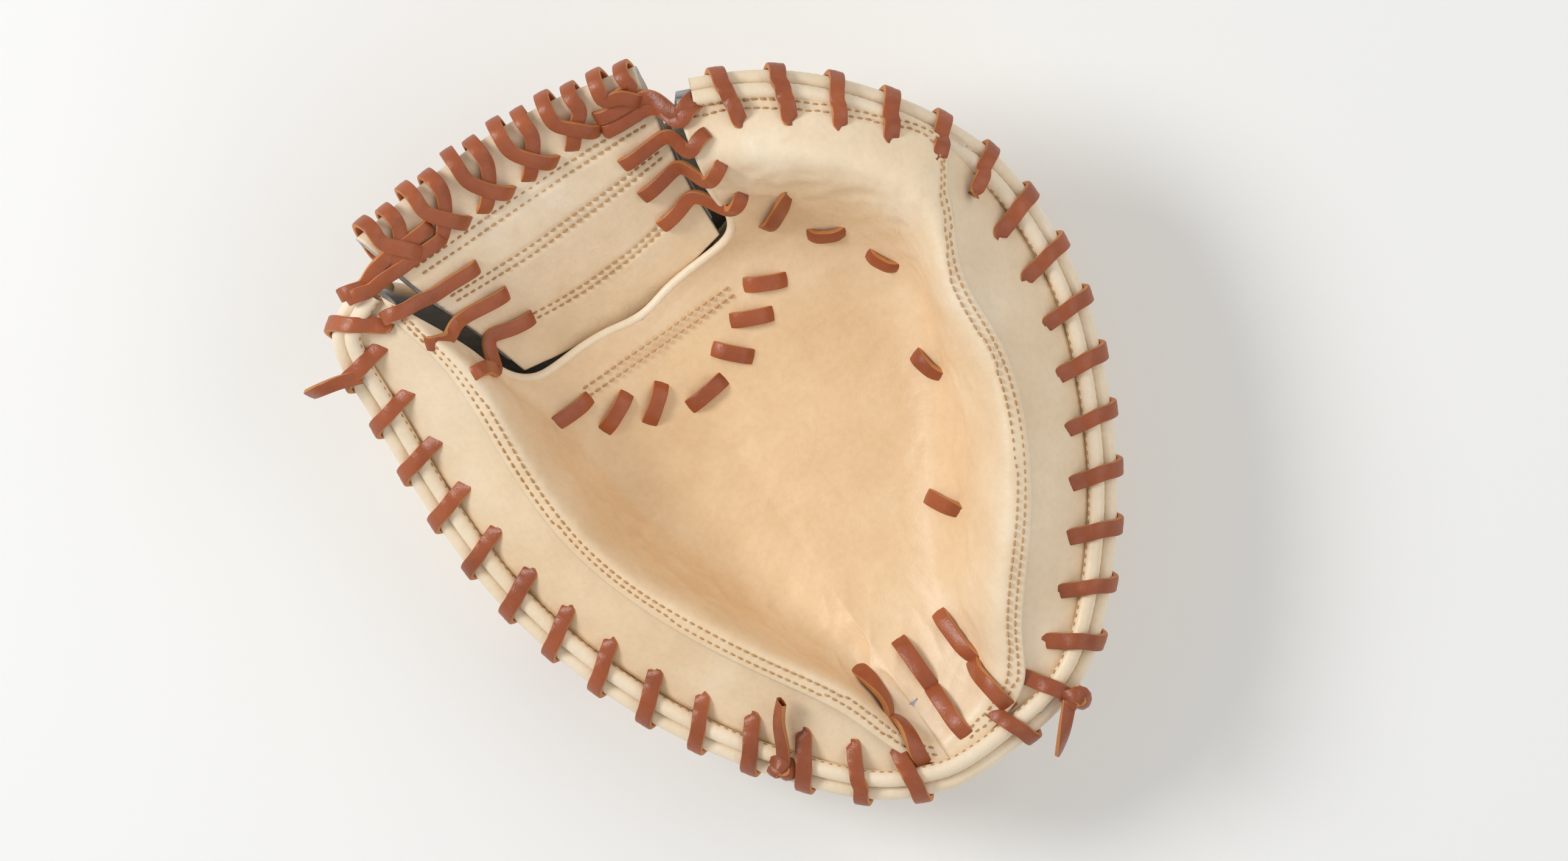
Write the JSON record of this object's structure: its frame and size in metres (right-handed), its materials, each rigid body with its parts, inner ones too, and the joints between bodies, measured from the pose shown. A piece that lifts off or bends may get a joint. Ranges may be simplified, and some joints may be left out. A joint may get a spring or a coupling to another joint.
{
  "type": "baseball catchers mitt",
  "caption": "Left-hand baseball catcher's mitt: padded leather shell around a deep pocket, closed laced web, rolled rim bindings, rawhide lacing, and a strapped wrist opening.",
  "frame": {"origin": "middle of the box's base: the mitt lies on its back, pocket up, on z = 0", "axes": "+Y from the heel to the web along the crease, +X to the finger side, +Z out of the pocket"},
  "size_m": [0.2664, 0.308, 0.1112],
  "materials": {
    "shell_leather": "satin",
    "binding_leather": "satin",
    "lining_leather": "matte",
    "wool_felt": "matte",
    "rawhide_lace": "satin",
    "grey_suede": "matte",
    "stiffener_plastic": "matte",
    "patch_leather": "satin"
  },
  "bodies": {
    "finger_side": {"back_binding_finger": "binding_leather", "back_finger_panel": "shell_leather", "back_index_panel": "shell_leather", "finger_fourchette": "shell_leather", "finger_pad_felt": "wool_felt", "finger_stall_lining": "lining_leather", "finger_stiffener": "stiffener_plastic", "hand_lining_finger": "lining_leather", "heel_lace_finger": "rawhide_lace", "little_finger_flap_binding": "binding_leather", "little_finger_loop": "grey_suede", "little_finger_wrist_flap": "shell_leather", "opening_binding_finger": "binding_leather", "palm_binding_finger": "binding_leather", "palm_lace_finger": "rawhide_lace", "palm_leather_finger": "shell_leather", "palm_top_binding_finger": "binding_leather", "pocket_felt_finger": "wool_felt", "rim_band_finger": "shell_leather", "rim_lace_finger": "rawhide_lace", "strap_lace_little_flap": "rawhide_lace", "web_back_cross_lace_finger": "rawhide_lace", "web_back_panel_finger": "shell_leather", "web_base_binding_finger": "binding_leather", "web_base_crescent_finger": "shell_leather", "web_base_lace_finger": "rawhide_lace", "web_front_panel_finger": "shell_leather", "web_side_lace_finger": "rawhide_lace", "web_tension_lace_finger": "rawhide_lace", "web_top_lace_finger": "rawhide_lace"},
    "thumb_side": {"back_binding_thumb": "binding_leather", "back_thumb_panel": "shell_leather", "hand_lining_thumb": "lining_leather", "heel_lace_thumb": "rawhide_lace", "opening_binding_thumb": "binding_leather", "palm_binding_thumb": "binding_leather", "palm_lace_thumb": "rawhide_lace", "palm_leather_thumb": "shell_leather", "palm_top_binding_thumb": "binding_leather", "pocket_felt_thumb": "wool_felt", "rim_band_thumb": "shell_leather", "rim_lace_thumb": "rawhide_lace", "strap_lace_thumb_flap": "rawhide_lace", "thumb_flap_binding": "binding_leather", "thumb_loop": "grey_suede", "thumb_pad_felt": "wool_felt", "thumb_patch": "patch_leather", "thumb_stall_lining": "lining_leather", "thumb_stiffener": "stiffener_plastic", "web_back_cross_lace_thumb": "rawhide_lace", "web_back_panel_thumb": "shell_leather", "web_base_binding_thumb": "binding_leather", "web_base_crescent_thumb": "shell_leather", "web_base_lace_thumb": "rawhide_lace", "web_front_panel_thumb": "shell_leather", "web_side_lace_thumb": "rawhide_lace", "web_tension_lace_thumb": "rawhide_lace", "web_top_lace_thumb": "rawhide_lace", "wrist_strap": "shell_leather", "wrist_strap_binding": "binding_leather"}
  },
  "joints": [
    {"name": "close", "type": "hinge", "parent": "finger_side", "child": "thumb_side", "pos_m": [-0.01971, 0.00127, 0.091], "axis": [0, 0.9967, 0.0809], "range_deg": [0, 25]}
  ]
}
